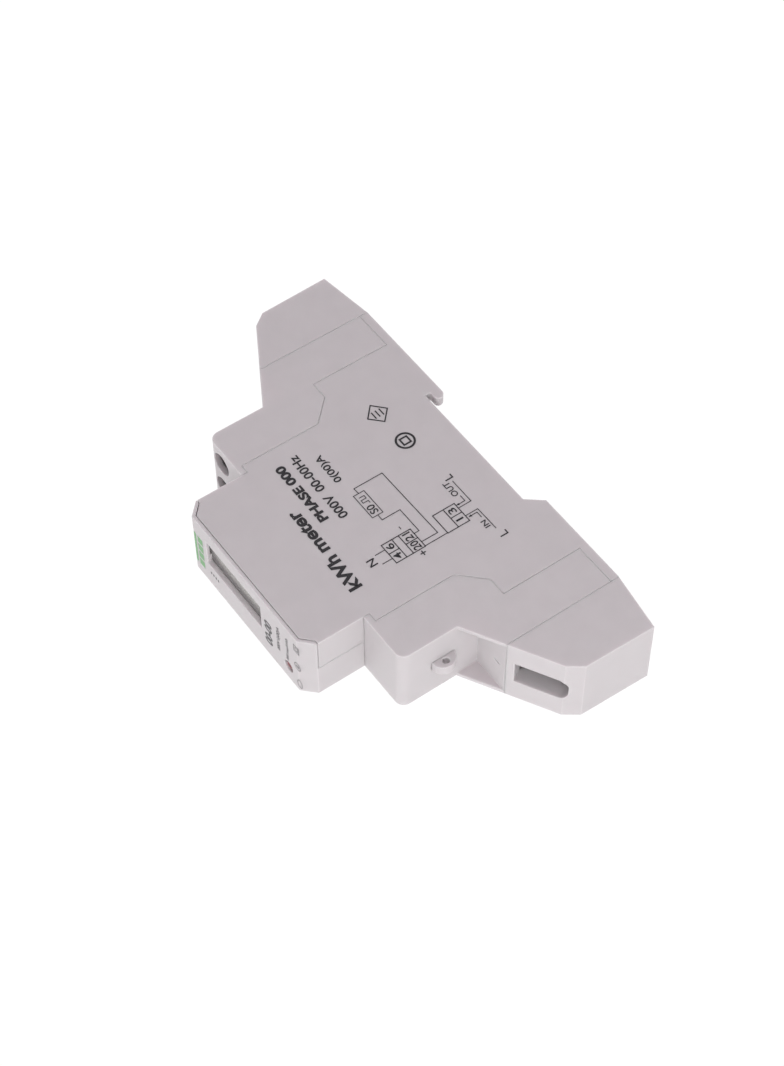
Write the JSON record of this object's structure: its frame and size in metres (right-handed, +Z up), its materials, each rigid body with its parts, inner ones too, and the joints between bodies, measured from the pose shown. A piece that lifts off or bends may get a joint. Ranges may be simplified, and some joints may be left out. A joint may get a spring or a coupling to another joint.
{
  "type": "din rail electricity meter",
  "caption": "Slim one-module electricity meter for a 35 mm rail, with a stepped front, display window, pulse lamp, sealable terminal covers, clamp terminals and a sprung rail latch.",
  "frame": {"origin": "centre of the seat that rests on the rail's front face, half way up the 35 mm rail and half way across the width", "axes": "+Z up along the meter's height, +X across the width out of the printed side, +Y from the front towards the rail"},
  "size_m": [0.018, 0.063, 0.118],
  "materials": {
    "case_plastic": "fine matte moulded texture",
    "cover_plastic": "fine matte moulded texture",
    "latch_plastic": "matte moulded",
    "spring_steel": "drawn wire",
    "screw_steel": "zinc plated",
    "clamp_steel": "zinc plated, stamped",
    "copper": "tinned copper strip",
    "shunt_alloy": "bare resistance alloy",
    "window_plastic": "clear polished",
    "lcd_glass": "reflective liquid crystal cell",
    "holder_plastic": "matte moulded",
    "zebra_rubber": "layered conductive rubber",
    "board_laminate": "solder mask over glass laminate",
    "chip_plastic": "moulded epoxy",
    "lamp_plastic": "tinted clear epoxy",
    "capacitor_plastic": "moulded box",
    "can_sleeve": "shrink sleeve",
    "varistor_coat": "dipped epoxy",
    "crystal_can": "drawn can",
    "resistor_body": "lacquered",
    "terminal_plastic": "moulded",
    "lead_sleeve": "insulated stranded wire"
  },
  "bodies": {
    "meter": {"base_shell": "case_plastic", "cover_shell": "case_plastic", "latch_spring": "spring_steel", "busbar_line_in": "copper", "busbar_line_out": "copper", "neutral_busbar": "copper", "shunt_resistor": "shunt_alloy", "pulse_terminal_block": "terminal_plastic", "pulse_pins": "copper", "display_window": "window_plastic", "lcd_panel": "lcd_glass", "lcd_holder": "holder_plastic", "zebra_strips": "zebra_rubber", "display_board": "board_laminate", "main_board": "board_laminate", "pulse_led": "lamp_plastic", "board_header": "chip_plastic", "microcontroller": "chip_plastic", "metering_chip": "chip_plastic", "optocoupler": "chip_plastic", "crystal": "crystal_can", "film_capacitor": "capacitor_plastic", "electrolytic_capacitor": "can_sleeve", "varistor": "varistor_coat", "fusible_resistor": "resistor_body", "diodes": "resistor_body", "sense_leads": "lead_sleeve"},
    "upper_cover": {"terminal_cover_upper": "cover_plastic", "end_cap_upper": "cover_plastic"},
    "lower_cover": {"terminal_cover_lower": "cover_plastic", "end_cap_lower": "cover_plastic"},
    "latch": {"rail_latch": "latch_plastic"},
    "screw_line_in": {"screw_line_in": "screw_steel"},
    "clamp_line_in": {"clamp_line_in": "clamp_steel"},
    "screw_line_out": {"screw_line_out": "screw_steel"},
    "clamp_line_out": {"clamp_line_out": "clamp_steel"},
    "screw_neutral_in": {"screw_neutral_in": "screw_steel"},
    "clamp_neutral_in": {"clamp_neutral_in": "clamp_steel"},
    "screw_neutral_out": {"screw_neutral_out": "screw_steel"},
    "clamp_neutral_out": {"clamp_neutral_out": "clamp_steel"},
    "screw_pulse_plus": {"screw_pulse_plus": "screw_steel"},
    "clamp_pulse_plus": {"clamp_pulse_plus": "clamp_steel"},
    "screw_pulse_minus": {"screw_pulse_minus": "screw_steel"},
    "clamp_pulse_minus": {"clamp_pulse_minus": "clamp_steel"}
  },
  "joints": [
    {"name": "upper_cover_slide", "type": "slide", "parent": "meter", "child": "upper_cover", "axis": [0, 0, 1], "range_m": [0, 0.0225]},
    {"name": "lower_cover_slide", "type": "slide", "parent": "meter", "child": "lower_cover", "axis": [0, 0, -1], "range_m": [0, 0.0225]},
    {"name": "latch_slide", "type": "slide", "parent": "meter", "child": "latch", "axis": [0, 0, -1], "range_m": [0, 0.0025], "stiffness_N_per_m": 1500, "springref_m": -0.002, "deforming": ["latch_spring"]},
    {"name": "screw_line_in_turn", "type": "hinge", "parent": "meter", "child": "screw_line_in", "pos_m": [-0.0041, -0.0305, 0.0309], "axis": [0, 1, 0], "range_deg": [0, 2160]},
    {"name": "clamp_line_in_rise", "type": "slide", "parent": "meter", "child": "clamp_line_in", "axis": [0, -1, 0], "range_m": [0, 0.0042]},
    {"name": "screw_line_out_turn", "type": "hinge", "parent": "meter", "child": "screw_line_out", "pos_m": [0.0041, -0.0305, 0.0309], "axis": [0, 1, 0], "range_deg": [0, 2160]},
    {"name": "clamp_line_out_rise", "type": "slide", "parent": "meter", "child": "clamp_line_out", "axis": [0, -1, 0], "range_m": [0, 0.0042]},
    {"name": "screw_neutral_in_turn", "type": "hinge", "parent": "meter", "child": "screw_neutral_in", "pos_m": [-0.0041, -0.0305, -0.0309], "axis": [0, 1, 0], "range_deg": [0, 2160]},
    {"name": "clamp_neutral_in_rise", "type": "slide", "parent": "meter", "child": "clamp_neutral_in", "axis": [0, -1, 0], "range_m": [0, 0.0042]},
    {"name": "screw_neutral_out_turn", "type": "hinge", "parent": "meter", "child": "screw_neutral_out", "pos_m": [0.0041, -0.0305, -0.0309], "axis": [0, 1, 0], "range_deg": [0, 2160]},
    {"name": "clamp_neutral_out_rise", "type": "slide", "parent": "meter", "child": "clamp_neutral_out", "axis": [0, -1, 0], "range_m": [0, 0.0042]},
    {"name": "screw_pulse_plus_turn", "type": "hinge", "parent": "meter", "child": "screw_pulse_plus", "pos_m": [-0.0039, -0.0423, -0.0267], "axis": [0, 1, 0], "range_deg": [0, 1080]},
    {"name": "clamp_pulse_plus_rise", "type": "slide", "parent": "meter", "child": "clamp_pulse_plus", "axis": [0, -1, 0], "range_m": [0, 0.0012]},
    {"name": "screw_pulse_minus_turn", "type": "hinge", "parent": "meter", "child": "screw_pulse_minus", "pos_m": [0.0039, -0.0423, -0.0267], "axis": [0, 1, 0], "range_deg": [0, 1080]},
    {"name": "clamp_pulse_minus_rise", "type": "slide", "parent": "meter", "child": "clamp_pulse_minus", "axis": [0, -1, 0], "range_m": [0, 0.0012]}
  ],
  "couplings": [
    {"joint": "screw_line_in_turn", "follows": "clamp_line_in_rise", "rad_per_m": 8976},
    {"joint": "screw_line_out_turn", "follows": "clamp_line_out_rise", "rad_per_m": 8976},
    {"joint": "screw_neutral_in_turn", "follows": "clamp_neutral_in_rise", "rad_per_m": 8976},
    {"joint": "screw_neutral_out_turn", "follows": "clamp_neutral_out_rise", "rad_per_m": 8976},
    {"joint": "screw_pulse_plus_turn", "follows": "clamp_pulse_plus_rise", "rad_per_m": 15708},
    {"joint": "screw_pulse_minus_turn", "follows": "clamp_pulse_minus_rise", "rad_per_m": 15708}
  ]
}
